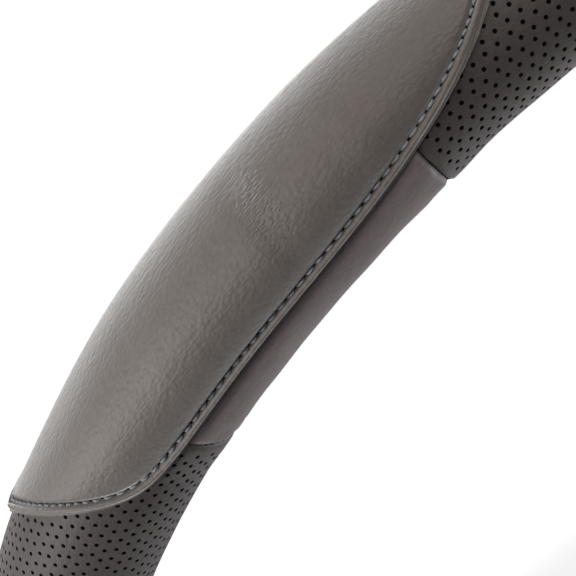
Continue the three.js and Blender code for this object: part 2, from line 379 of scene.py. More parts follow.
class Groups:
    """Shader node groups that the leather, rubber and foam finishes share."""

    def __init__(self) -> None:
        """Makes the three groups once."""
        self.grain = self._grain()
        self.wear = self._wear()
        self.creases = self._creases()

    @staticmethod
    def _start(
        name: str, inputs: dict[str, float], outputs: list[str]
    ) -> tuple[Graph, bpy.types.bpy_prop_collection, bpy.types.bpy_prop_collection]:
        """A new group that reads a vector and some numbers.

        Args:
            name: The group's name.
            inputs: Names and starting values of its numbers.
            outputs: Names of its outputs.

        Returns:
            Its graph, the sockets that it is given and those that it fills.
        """
        graph = Graph(bpy.data.node_groups.new(name, "ShaderNodeTree"))
        sockets = graph.tree.interface
        sockets.new_socket("Vector", in_out="INPUT", socket_type="NodeSocketVector")
        for label, value in inputs.items():
            sockets.new_socket(label, in_out="INPUT", socket_type="NodeSocketFloat").default_value = value
        for label in outputs:
            sockets.new_socket(label, in_out="OUTPUT", socket_type="NodeSocketFloat")
        given = graph.tree.nodes.new("NodeGroupInput").outputs
        return graph, given, graph.tree.nodes.new("NodeGroupOutput").inputs

    def _grain(self) -> bpy.types.NodeTree:
        """Leather grain: soft pebbles drawn out along the ring, and finer pores.

        Height adds a smoothed cell pattern, a noise of the same size and a finer
        one. Tint is slow mottling, from 0 to 1.
        """
        graph, given, result = self._start("leather_grain", {"Cells": 900.0, "Stretch": 0.45}, ["Height", "Tint"])
        scale = graph.add("CombineXYZ", {0: given["Stretch"], 1: 1.0, 2: 1.0}).outputs[0]
        drawn = graph.add("VectorMath", {0: given["Vector"], 1: scale}, operation="MULTIPLY").outputs[0]
        feeds = {"Vector": drawn, "Scale": given["Cells"], "Smoothness": 0.6}
        cells = graph.add("TexVoronoi", feeds, feature="SMOOTH_F1", voronoi_dimensions="2D")
        height = graph.math("MULTIPLY", cells.outputs["Distance"], -0.9)
        for factor, weight in ((0.55, 1.3), (1.7, 0.6)):
            noise = graph.noise(drawn, graph.math("MULTIPLY", given["Cells"], factor), 2.0, "2D")
            height = graph.math("ADD", height, graph.math("MULTIPLY", noise.outputs["Fac"], weight))
        graph.feed(result["Height"], graph.math("MULTIPLY", height, 0.6))
        slow = graph.noise(drawn, 32.0, 6.0)
        slow.inputs["Roughness"].default_value = 0.62
        graph.feed(result["Tint"], slow.outputs["Fac"])
        return graph.tree

    def _wear(self) -> bpy.types.NodeTree:
        """Rubbed patches: broad noise over Object coordinates, eased to a mask."""
        graph, given, result = self._start("rubbed_wear", {"Scale": 9.0, "Amount": 0.5}, ["Mask"])
        broad = graph.noise(given["Vector"], given["Scale"], 4.0)
        share = graph.ramp(broad.outputs["Fac"], 0.42, 0.68)
        graph.feed(result["Mask"], graph.math("MULTIPLY", share, given["Amount"]))
        return graph.tree

    def _creases(self) -> bpy.types.NodeTree:
        """A patch of short creases along the ring, as a mask from 0 to 1.

        Fine noise drawn out along the ring is cut at a high level, inside an oval
        whose edge fades out. The oval is placed on the panel's own lengths.
        """
        graph, given, result = self._start("crease_marks", {"Amount": 1.0}, ["Mask"])
        fine = graph.add("VectorMath", {0: given["Vector"], 1: (850.0, 2900.0, 0.0)}, operation="MULTIPLY")
        marks = graph.noise(fine.outputs[0], 1.0, 1.0, "2D")
        oval = {
            "Vector": given["Vector"], "Location": (-0.0118, 0.0040, 0.0),
            "Rotation": (0.0, 0.0, -0.25), "Scale": (0.0072, 0.0125, 1.0),
        }
        inside = graph.add("Mapping", oval, vector_type="TEXTURE").outputs[0]
        reach = graph.add("VectorMath", {0: inside}, operation="LENGTH")
        cut = graph.ramp(marks.outputs["Fac"], 0.48, 0.70)
        near = graph.ramp(reach.outputs["Value"], 1.0, 0.2)
        share = graph.math("MULTIPLY", graph.math("MULTIPLY", cut, near), given["Amount"])
        graph.feed(result["Mask"], share)
        return graph.tree


@dataclass(frozen=True)
class Finish:
    """A grained finish: two tones, its sheen and the depth of its grain."""

    name: str
    light: Colour
    dark: Colour
    roughness: float
    roughness_spread: float
    cells: float
    stretch: float
    depth: float
    specular: float = 0.4
    sheen: float = 0.0
    creases: float = 0.0
    rubbed: float = 0.5
    crease_shade_tone: float = 0.6

    def make(self, groups: Groups) -> bpy.types.Material:
        """Builds the material on the piece's own surface lengths.

        Args:
            groups: The shared node groups.

        Returns:
            The material.
        """
        graph, material, shader = Graph.of_material(self.name)
        place = graph.add("UVMap", uv_map="surface").outputs["UV"]
        feeds = {"Vector": place, "Cells": self.cells, "Stretch": self.stretch}
        grain = graph.add("Group", feeds, node_tree=groups.grain)
        height = grain.outputs["Height"]
        where = graph.add("TexCoord").outputs["Object"]
        wear = graph.add("Group", {"Vector": where, "Amount": self.rubbed}, node_tree=groups.wear)
        tone = graph.mix(grain.outputs["Tint"], opaque(self.dark), opaque(self.light))
        # Darker where the grain is low: painted shade in the grain's hollows.
        colour = graph.mix(1.0, tone, graph.ramp(height, 0.15, 0.6, 0.86, 1.0, "LINEAR"), "MULTIPLY")
        if self.creases:
            feeds = {"Vector": place, "Amount": self.creases}
            marks = graph.add("Group", feeds, node_tree=groups.creases).outputs["Mask"]
            height = graph.math("SUBTRACT", height, marks)
            # The creases also darken the colour: painted shade in them, besides their relief.
            colour = graph.mix(marks, colour, opaque(self.dark, self.crease_shade_tone))
        rubbed = self.roughness - self.roughness_spread
        relief = graph.add("Bump", {"Height": height, "Distance": self.depth, "Strength": 1.0})
        for label, value in (
            ("Base Color", colour),
            ("Roughness", graph.ramp(wear.outputs["Mask"], 0.0, 1.0, self.roughness, rubbed, "LINEAR")),
            ("Specular IOR Level", self.specular),
            ("Sheen Weight", self.sheen),
            ("Sheen Roughness", 0.5),
            ("Normal", relief.outputs["Normal"]),
        ):
            graph.feed(shader[label], value)
        return material


@dataclass(frozen=True)
class ThreadFinish:
    """Twisted sewing thread: slanting plies along its own length."""

    name: str
    light: Colour
    dark: Colour
    plies: float = 1500.0
    depth: float = 0.06 * MM

    def make(self) -> bpy.types.Material:
        """Builds the thread's material on its own surface lengths."""
        graph, material, shader = Graph.of_material(self.name)
        place = graph.add("UVMap", uv_map="surface").outputs["UV"]
        feeds = {"Vector": place, "Scale": self.plies, "Distortion": 0.6}
        wave = graph.add("TexWave", feeds, bands_direction="DIAGONAL").outputs["Fac"]
        relief = graph.add("Bump", {"Height": wave, "Distance": self.depth})
        # The dark tone follows the wave's low parts: painted shade in the grooves between the plies.
        graph.feed(shader["Base Color"], graph.mix(wave, opaque(self.dark), opaque(self.light)))
        graph.feed(shader["Normal"], relief.outputs["Normal"])
        graph.feed(shader["Roughness"], 0.55)
        return material


@dataclass
class Palette:
    """Every material of the cover."""

    groups: Groups = field(default_factory=Groups)

    def __post_init__(self) -> None:
        """Makes the finishes once."""
        self.grip = Finish(
            "grip_leather", (0.141, 0.114, 0.096), (0.118, 0.094, 0.079), 0.56, 0.06, 1500.0, 0.5, 0.15 * MM,
            specular=0.5, sheen=1.0, creases=0.8,
        ).make(self.groups)
        self.perforated = Finish(
            "perforated_leather", (0.077, 0.060, 0.056), (0.062, 0.048, 0.045), 0.58, 0.06, 1900.0, 0.5, 0.08 * MM,
            specular=0.35, sheen=0.3,
        ).make(self.groups)
        self.plain = Finish(
            "side_leather", (0.262, 0.204, 0.211), (0.223, 0.174, 0.180), 0.58, 0.06, 1700.0, 0.45, 0.10 * MM,
            specular=0.35, sheen=0.3,
        ).make(self.groups)
        # Near black: painted shade inside the punched pits and needle holes, over the dark rubber seen through the
        # pits.
        self.hole = Finish(
            "punched_hole_shade", (0.006, 0.005, 0.005), (0.003, 0.003, 0.003), 0.9, 0.05, 900.0, 1.0, 0.03 * MM, specular=0.1
        ).make(self.groups)
        self.rubber = Finish(
            "liner_rubber", (0.030, 0.029, 0.028), (0.018, 0.017, 0.017), 0.78, 0.12, 700.0, 1.0, 0.05 * MM
        ).make(self.groups)
        self.foam = Finish(
            "foam", (0.30, 0.28, 0.24), (0.20, 0.19, 0.16), 0.95, 0.03, 1700.0, 1.0, 0.20 * MM
        ).make(self.groups)
        self.thread = ThreadFinish("grip_thread", (0.52, 0.535, 0.575), (0.115, 0.115, 0.125)).make()
        self.seam_thread = ThreadFinish("seam_thread", (0.035, 0.032, 0.032), (0.012, 0.011, 0.011)).make()


@dataclass
class LeatherSection:
    """A stretch of the wrapped leather, between two seams across the ring."""

    arc: Arc
    half_angle: float
    seam_gap: float = 0.3 * MM
    fold_depth: float = 1.2 * MM
    roll_depth: float = 0.5 * MM
    roll_width: float = 0.75 * MM
    ridge: float = 0.45 * MM
    ridge_width: float = 6.0 * MM
    inner_stops: int = 8
    back_stop: float = -101.5
    front_stop: float = 181.0

    def ring_angles(self, share: Array) -> Array:
        """Angles along the ring, in radians, for shares from 0 to 1 of the section."""
        seam = self.seam_gap / 2.0 / FORM.centre_radius
        middle, half = math.radians(self.arc.value), math.radians(self.half_angle) - seam
        return middle + half * (2.0 * share - 1.0)

    def lip(self, edge: float, inward: float) -> tuple[Array, Array]:
        """The rounded lip where the leather turns in over the rubber.

        Half an ellipse between the outer radius and the bore's radius.

        Args:
            edge: The lip's angle round the tube, in degrees.
            inward: 1 where the angle grows towards the lip, otherwise -1.

        Returns:
            Radii and angles, from the outer face to the fold's under side.
        """
        turn = np.linspace(0.0, np.pi, 9)
        middle = (FORM.tube_radius + FORM.liner_inner) / 2.0
        radii = middle + (FORM.tube_radius - FORM.liner_inner) / 2.0 * np.cos(turn)
        angles = math.radians(edge) + inward * self.fold_depth / middle * (np.sin(turn) - 1.0)
        return radii, angles

    def section(self, outer: Array) -> tuple[Array, Array]:
        """The closed section: outer stops, front lip, inner wall, back lip.

        Args:
            outer: Stops of the outer face, in radians, from back to front.

        Returns:
            Radii and angles of the whole section, once round.
        """
        front_r, front_a = self.lip(FORM.front_lip, 1.0)
        back_r, back_a = self.lip(FORM.back_lip, -1.0)
        fold = FORM.lip_fold / FORM.leather_inner
        front, back = math.radians(FORM.front_lip) - fold, math.radians(FORM.back_lip) + fold
        inner = np.linspace(front, back, self.inner_stops)
        radii = [
            np.full(len(outer), FORM.tube_radius), front_r, [FORM.liner_inner],
            np.full(len(inner), FORM.leather_inner), [FORM.liner_inner], back_r[::-1],
        ]
        angles = [outer, front_a, [front], inner, [back], back_a[::-1]]
        return np.concatenate(radii), np.concatenate(angles)

    def seam_shape(self, to_seam: Array) -> Array:
        """How the leather dives into a seam, a little raised beside it.

        A narrow bell down at the seam, and a lift that eases out away from it.

        Args:
            to_seam: Distance to the nearest seam, in metres.

        Returns:
            Change of radius, in metres.
        """
        dive = -self.roll_depth * bump(to_seam, 0.0, self.roll_width)
        return dive + self.ridge * (1.0 - smoothstep(to_seam, 0.5 * MM, self.ridge_width))

    def outer_weight(self, radii: Array) -> Array:
        """1 on the outer face, easing to 0 where the leather turns in."""
        return smoothstep(radii, FORM.leather_inner + 0.2 * MM, FORM.tube_radius)

    def close_ends(self, skin: Skin, grid: Array) -> None:
        """Caps both cut ends of a swept section with one flat face each."""
        skin.add_faces(grid[:, 0][None, :])
        skin.add_faces(grid[::-1, -1][None, :])


@dataclass
class PerforatedArc(LeatherSection):
    """Leather punched all over in rows whose holes shift by a third of the pitch."""

    pitch: float = 2.85 * MM
    row_pitch: float = 2.1 * MM
    field_low: float = -95.0
    field_high: float = 175.0
    back_margin: float = -98.3
    front_margin: float = 178.3
    hole_radius: float = 0.51 * MM
    hole_depth: float = 1.05 * MM
    dimple: float = 0.05 * MM
    hole_wander: float = 0.035 * MM
    unevenness: float = 0.10 * MM
    edge_columns: int = 4
    edge_width: float = 0.4 * MM
    ridge: float = 0.55 * MM
    ridge_width: float = 12.0 * MM
    roll_width: float = 0.5 * MM
    seed: int = 11

    def build(self, name: str, palette: Palette) -> bpy.types.Object:
        """Makes the arc: a grid of three columns to a hole, and a pit in each cell.

        Each cell's eight border points join the eight points of a hole's rim, and
        the rim joins a point below it, as a steep cone whose near-black walls are
        painted shade deep in the hole, over the dark rubber seen through it.

        Args:
            name: The piece's name.
            palette: The cover's materials.

        Returns:
            The finished object.
        """
        length = 2.0 * (math.radians(self.half_angle) * FORM.centre_radius) - self.seam_gap
        cells = int((length - 2.0 * self.edge_width) / self.pitch)
        span = cells * self.pitch
        edge = (length - span) / 2.0
        margin = np.linspace(0.0, edge, self.edge_columns + 1)[:-1]
        along = np.concatenate([margin, edge + np.linspace(0.0, span, 3 * cells + 1), length - margin[::-1]])
        rows = int(round(math.radians(self.field_high - self.field_low) * FORM.tube_radius / self.row_pitch))
        holes = np.radians(np.linspace(self.field_low, self.field_high, rows + 1))
        before = np.radians([self.back_stop, self.back_margin])
        after = np.radians([self.front_margin, self.front_stop])
        outer = np.concatenate([before, holes, after])
        radii, tube = self.section(outer)
        ring = self.ring_angles(along / length)
        to_seam = np.minimum(along, length - along)
        lift = self.seam_shape(to_seam)[None, :] + self._waviness(tube[:, None], ring[None, :])
        grid_r = radii[:, None] + self.outer_weight(radii)[:, None] * lift
        skin = Skin()
        grid = skin.add_places(grid_r, tube[:, None], ring[None, :])
        first = len(before)
        closed = np.vstack([grid, grid[:1]])
        skin.add_grid(closed[: first + 1])
        skin.add_grid(closed[first + rows :])
        for row in range(rows):
            self._punch_row(skin, grid[first + row : first + row + 2], grid_r, tube, ring, first + row, cells)
        self.close_ends(skin, grid)
        return skin.build(name, [palette.perforated, palette.hole])

    def _waviness(self, tube: Array, ring: Array) -> Array:
        """Slow unevenness of leather drawn over rubber."""
        along, around = ring * FORM.centre_radius, tube * FORM.tube_radius
        return self.unevenness * soft_noise(along / 0.03, around / 0.02, self.seed)

    def _punch_row(
        self, skin: Skin, pair: Array, radii: Array, tube: Array, ring: Array, row: int, cells: int
    ) -> None:
        """Fills one row of cells with punched holes and its leftovers with plain faces.

        Args:
            skin: Takes the faces.
            pair: Point numbers of the row's lower and upper border.
            radii: Radius of each grid point.
            tube: Angle round the tube of each grid row.
            ring: Angle along the ring of each column.
            row: The lower border's place in the section.
            cells: How many cells fit between the seams.
        """
        shift = 0 if row % 2 else 2
        start = self.edge_columns + shift
        number = cells if shift == 0 else cells - 1
        stop = start + 3 * number
        skin.add_grid(pair[:, : start + 1])
        skin.add_grid(pair[:, stop:])
        left = start + 3 * np.arange(number)
        low, high = pair
        upper = [high[left + step] for step in (3, 2, 1, 0)]
        cell = np.stack([low[left + 2], low[left + 3], *upper, low[left], low[left + 1]], axis=-1)
        draw = np.random.default_rng(self.seed + row)
        wander = draw.normal(0.0, self.hole_wander, (2, number))
        mid_ring = (ring[left + 1] + ring[left + 2]) / 2.0
        mid_tube = (tube[row] + tube[row + 1]) / 2.0
        radius = (radii[row, left + 1] + radii[row + 1, left + 2]) / 2.0
        reach = FORM.centre_radius + radius * np.cos(mid_tube)
        turn = np.radians(-67.5 + 45.0 * np.arange(8))
        rim_ring = (mid_ring + wander[0] / reach)[:, None] + self.hole_radius * np.cos(turn)[None, :] / reach[:, None]
        rim_tube = (mid_tube + wander[1] / radius)[:, None] + self.hole_radius * np.sin(turn)[None, :] / radius[:, None]
        rim = skin.add_places((radius - self.dimple)[:, None], rim_tube, rim_ring)
        base = skin.add_places(radius - self.hole_depth, rim_tube.mean(axis=1), rim_ring.mean(axis=1))
        skin.rims.append(rim)
        skin.add_faces(np.stack([cell, np.roll(cell, -1, 1), np.roll(rim, -1, 1), rim], axis=-1))
        cone = np.stack([rim, np.roll(rim, -1, 1), np.broadcast_to(base[:, None], rim.shape)], axis=-1)
        # The pit's walls take the near-black finish: painted shade deep in the hole.
        skin.add_faces(cone, 1)


@dataclass
class GripOutline:
    """The grip panel's outline: straight sides that round over into a crest."""

    half_angle: float = 24.5
    shoulder: float = -28.0
    crest: float = 72.0
    lean: float = 4.3
    lean_power: float = 4.4
    rise_power: float = 0.86
    width_power: float = 3.8
    hem: float = -105.0
    hem_share: float = 0.2
    corner: float = 42.0
    reach: float = FORM.centre_radius + FORM.tube_radius
    straight_stops: int = 60
    arch_stops: int = 720
    smooth_stops: int = 25

    def flat_curve(self, inset: float) -> Array:
        """The outline laid flat, from the right end of the hem over to the left.

        Across is the ring angle times the outer reach, and up is the tube angle
        times the tube's radius, both in metres. With w the share of the half width,
        the share of the rise is 1 less w to the width power, all to the power of one
        over the rise power, and the lean grows with the rise. The curve is then
        moved inwards along its own normals.

        Args:
            inset: Distance in from the outline, in metres.

        Returns:
            Flat points, one row each.
        """
        width = np.sin(np.linspace(np.pi / 2.0, -np.pi / 2.0, self.arch_stops + 1))
        share = np.clip(1.0 - np.abs(width) ** self.width_power, 0.0, 1.0) ** (1.0 / self.rise_power)
        ring = self.half_angle * width + self.lean * share**self.lean_power
        tube = self.shoulder + (self.crest - self.shoulder) * share
        low = np.linspace(self.hem, self.shoulder, self.straight_stops + 1)[:-1]
        ring = np.concatenate([np.full(len(low), self.half_angle), ring, np.full(len(low), -self.half_angle)])
        tube = np.concatenate([low, tube, low[::-1]])
        flat = np.stack([np.radians(ring) * self.reach, np.radians(tube) * FORM.tube_radius], axis=-1)
        along = np.gradient(flat, axis=0)
        along = along / np.linalg.norm(along, axis=1, keepdims=True)
        window = np.full(self.smooth_stops, 1.0 / self.smooth_stops)
        padded = [np.pad(axis, self.smooth_stops // 2, "edge") for axis in along.T]
        smooth = np.stack([np.convolve(axis, window, "valid") for axis in padded], axis=-1)
        smooth = smooth / np.linalg.norm(smooth, axis=1, keepdims=True)
        return flat + inset * np.stack([-smooth[:, 1], smooth[:, 0]], axis=-1)

    @staticmethod
    def even(curve: Array, cells: int) -> Array:
        """The same curve at even steps of its own length."""
        length = np.concatenate([[0.0], np.cumsum(np.linalg.norm(np.diff(curve, axis=0), axis=1))])
        wanted = np.linspace(0.0, length[-1], cells + 1)
        return np.stack([np.interp(wanted, length, axis) for axis in curve.T], axis=-1)

    def borders(self, columns: int, rows: int, inset: float) -> tuple[Array, Array, Array, Array]:
        """The four borders of the panel at an inset: hem, right, top and left.

        Args:
            columns: Cells along the hem and the top.
            rows: Cells up each side.
            inset: Distance in from the outline, in metres.

        Returns:
            Flat points; the hem and top run left to right, the sides upwards.
        """
        curve = self.flat_curve(inset)
        turn = int(round(self.arch_stops * self.corner / 180.0))
        first, last = self.straight_stops + turn, len(curve) - 1 - self.straight_stops - turn
        level = math.radians(self.hem) * FORM.tube_radius + inset * self.hem_share
        sides = []
        for part in (curve[: first + 1], curve[last:][::-1]):
            part = part[part[:, 1] > level]
            foot = np.array([[part[0, 0], level]])
            sides.append(self.even(np.concatenate([foot, part]), rows))
        right, left = sides
        top = self.even(curve[first : last + 1], columns)[::-1]
        share = np.linspace(0.0, 1.0, columns + 1)[:, None]
        hem = left[:1] + (right[:1] - left[:1]) * share
        return hem, right, top, left

    def loop(self, columns: int, rows: int, inset: float) -> Array:
        """The closed loop at an inset: hem, right side, top, left side."""
        hem, right, top, left = self.borders(columns, rows, inset)
        return np.concatenate([hem[:-1], right[:-1], top[:0:-1], left[:0:-1]])

    def sheet(self, columns: int, rows: int, inset: float) -> Array:
        """A grid blended between the four borders, rows from the hem upwards.

        Each point adds the two blends of facing borders and takes away the blend
        of the four corners.

        Args:
            columns: Cells along the ring.
            rows: Cells round the tube.
            inset: Distance in from the outline, in metres.

        Returns:
            Flat points of the grid.
        """
        hem, right, top, left = self.borders(columns, rows, inset)
        across = np.linspace(0.0, 1.0, columns + 1)[None, :, None]
        up = np.linspace(0.0, 1.0, rows + 1)[:, None, None]
        rows_blend = (1.0 - up) * hem[None] + up * top[None]
        side_blend = (1.0 - across) * left[:, None] + across * right[:, None]
        low = (1.0 - across) * hem[0] + across * hem[-1]
        high = (1.0 - across) * top[0] + across * top[-1]
        return rows_blend + side_blend - ((1.0 - up) * low + up * high)

    def angles(self, flat: Array) -> tuple[Array, Array]:
        """Ring and tube angles of flat points, in radians."""
        return flat[..., 0] / self.reach, flat[..., 1] / FORM.tube_radius

    def top_edge(self, ring: Array) -> Array:
        """Tube angle of the outline over each ring angle, all in degrees."""
        at, level = self.angles(self.flat_curve(0.0)[self.straight_stops : -self.straight_stops])
        at, level = np.degrees(at)[::-1], np.degrees(level)[::-1]
        return np.interp(ring, at, level, left=self.shoulder, right=self.shoulder)


OUTLINE = GripOutline()


@dataclass
class SideSection(LeatherSection):
    """Plain leather between two seams, a little padded where the grip leaves it."""

    columns: int = 130
    stops: int = 74
    puff: float = 0.7 * MM
    puff_reach: float = 7.0 * MM
    pucker: float = 0.16 * MM
    pucker_length: float = 1.15 * MM
    pucker_at: Band = (2.0 * MM, 2.4 * MM)
    clear_band: Band = (1.0, 16.0)
    unevenness: float = 0.12 * MM
    seed: int = 5

    def build(self, name: str, palette: Palette) -> bpy.types.Object:
        """Makes the side as a closed section carried along the ring.

        Args:
            name: The piece's name.
            palette: The cover's materials.

        Returns:
            The finished object.
        """
        outer = np.radians(np.linspace(self.back_stop, self.front_stop, self.stops))
        radii, tube = self.section(outer)
        even = np.linspace(0.0, 1.0, self.columns + 1)
        share = 0.6 * (0.5 - 0.5 * np.cos(np.pi * even)) + 0.4 * even
        ring = self.ring_angles(share)
        length = (ring[-1] - ring[0]) * FORM.centre_radius
        to_seam = np.minimum(share, 1.0 - share) * length
        weight = self.outer_weight(radii)[:, None]
        local = np.degrees(ring - math.radians(self.arc.value))
        edge = OUTLINE.top_edge(-local if self.arc is Arc.LEFT else local)
        clear = smoothstep(np.degrees(tube)[:, None] - edge[None, :], *self.clear_band)
        swell = self.puff * clear * smoothstep(to_seam, 0.0, self.puff_reach)[None, :]
        around = tube[:, None] * FORM.tube_radius
        pucker = self.pucker * np.sin(around / self.pucker_length) * bump(to_seam, *self.pucker_at)[None, :]
        slow = self.unevenness * soft_noise(ring[None, :] * FORM.centre_radius / 0.02, around / 0.014, self.seed)
        grid_r = radii[:, None] + weight * (self.seam_shape(to_seam)[None, :] + swell + clear * (pucker + slow))
        skin = Skin()
        grid = skin.add_places(grid_r, tube[:, None], ring[None, :])
        skin.add_grid(np.vstack([grid, grid[:1]]))
        self.close_ends(skin, grid)
        return skin.build(name, [palette.plain])


@dataclass
class SeamStitches:
    """Small dark stitches down in the four seams, between the grips and the lip."""

    pitch: float = 1.9 * MM
    girth: float = 0.24 * MM
    seat: float = 0.14 * MM
    askew: float = 0.10 * MM
    clear_of_grip: float = 4.0
    last: float = 170.0
    seed: int = 31

    def build(self, name: str, palette: Palette) -> bpy.types.Object:
        """Makes every stitch as a short tube of six sides along its seam.

        The centre's height over the leather is a sine over the stitch's length,
        less the seat, and its girth follows the same sine.

        Args:
            name: The piece's name.
            palette: The cover's materials.

        Returns:
            The finished object.
        """
        draw = np.random.default_rng(self.seed)
        skin = Skin()
        share = np.linspace(0.0, 1.0, 5)
        hump = np.sin(np.pi * (0.12 + 0.76 * share))
        turn = np.linspace(0.0, 2.0 * np.pi, 7)[:-1]
        for middle in (0.0, 180.0):
            for offset in (-FORM.seam_half, FORM.seam_half):
                local = offset if middle == 0.0 else -offset
                first = math.radians(float(OUTLINE.top_edge(np.array(local))) - self.clear_of_grip)
                radius = FORM.tube_radius - self.seat
                number = int((math.radians(self.last) - first) * radius / self.pitch)
                askew = draw.normal(0.0, self.askew, (number, 1))
                tube = first + (np.arange(number)[:, None] + 0.12 + 0.72 * share[None, :]) * self.pitch / radius
                ring = math.radians(middle + offset) + askew * (share - 0.5)[None, :] / FORM.centre_radius
                ring = ring[:, :, None] + self.girth * hump[None, :, None] * np.cos(turn) / FORM.centre_radius
                lift = radius - self.seat + 0.35 * self.girth * hump
                reach = lift[None, :, None] + self.girth * hump[None, :, None] * np.sin(turn)
                tube = np.broadcast_to(tube[:, :, None], ring.shape)
                skin.add_tubes(skin.add_places(reach, tube, ring))
        return skin.build(name, [palette.seam_thread])


@dataclass
class LinerRing:
    """The moulded rubber ring, with anti-slip ribs along its bore."""

    columns: int = 288
    ribs: int = 4
    rib_height: float = 0.7 * MM
    rib_width: float = 2.2 * MM
    round_edge: float = 0.5 * MM
    edge_turn: float = 0.03
    outer_stops: int = 40
    inner_stops: int = 150

    def build(self, name: str, palette: Palette) -> bpy.types.Object:
        """Turns the C section round the ring's axis.

        The bore's radius falls by a rib's height times a steep bell at each rib.

        Args:
            name: The piece's name.
            palette: The cover's materials.

        Returns:
            The finished object.
        """
        fold = FORM.lip_fold / FORM.leather_inner
        clear = FORM.gap / FORM.liner_inner
        front = math.radians(FORM.front_lip) - fold - clear
        back = math.radians(FORM.back_lip) + fold + clear
        outer = np.linspace(back + self.edge_turn, front - self.edge_turn, self.outer_stops)
        inner = np.linspace(front - self.edge_turn, back + self.edge_turn, self.inner_stops)
        drop = np.zeros(len(inner))
        for rib in range(self.ribs):
            at = front + (back - front) * (rib + 0.5) / self.ribs
            drop += self.rib_height * np.exp(-((np.abs(inner - at) * FORM.liner_inner / (self.rib_width / 2.0)) ** 4))
        edge = self.round_edge
        radii = np.concatenate([
            np.full(len(outer), FORM.liner_outer), [FORM.liner_outer - edge, FORM.liner_inner + edge],
            FORM.liner_inner - drop, [FORM.liner_inner + edge, FORM.liner_outer - edge],
        ])
        angles = np.concatenate([outer, [front, front], inner, [back, back]])
        ring = np.linspace(0.0, 2.0 * np.pi, self.columns + 1)[:-1]
        skin = Skin()
        grid = skin.add_places(radii[:, None], angles[:, None], ring[None, :])
        wrapped = np.vstack([grid, grid[:1]])
        skin.add_grid(np.hstack([wrapped, wrapped[:, :1]]))
        return skin.build(name, [palette.rubber])


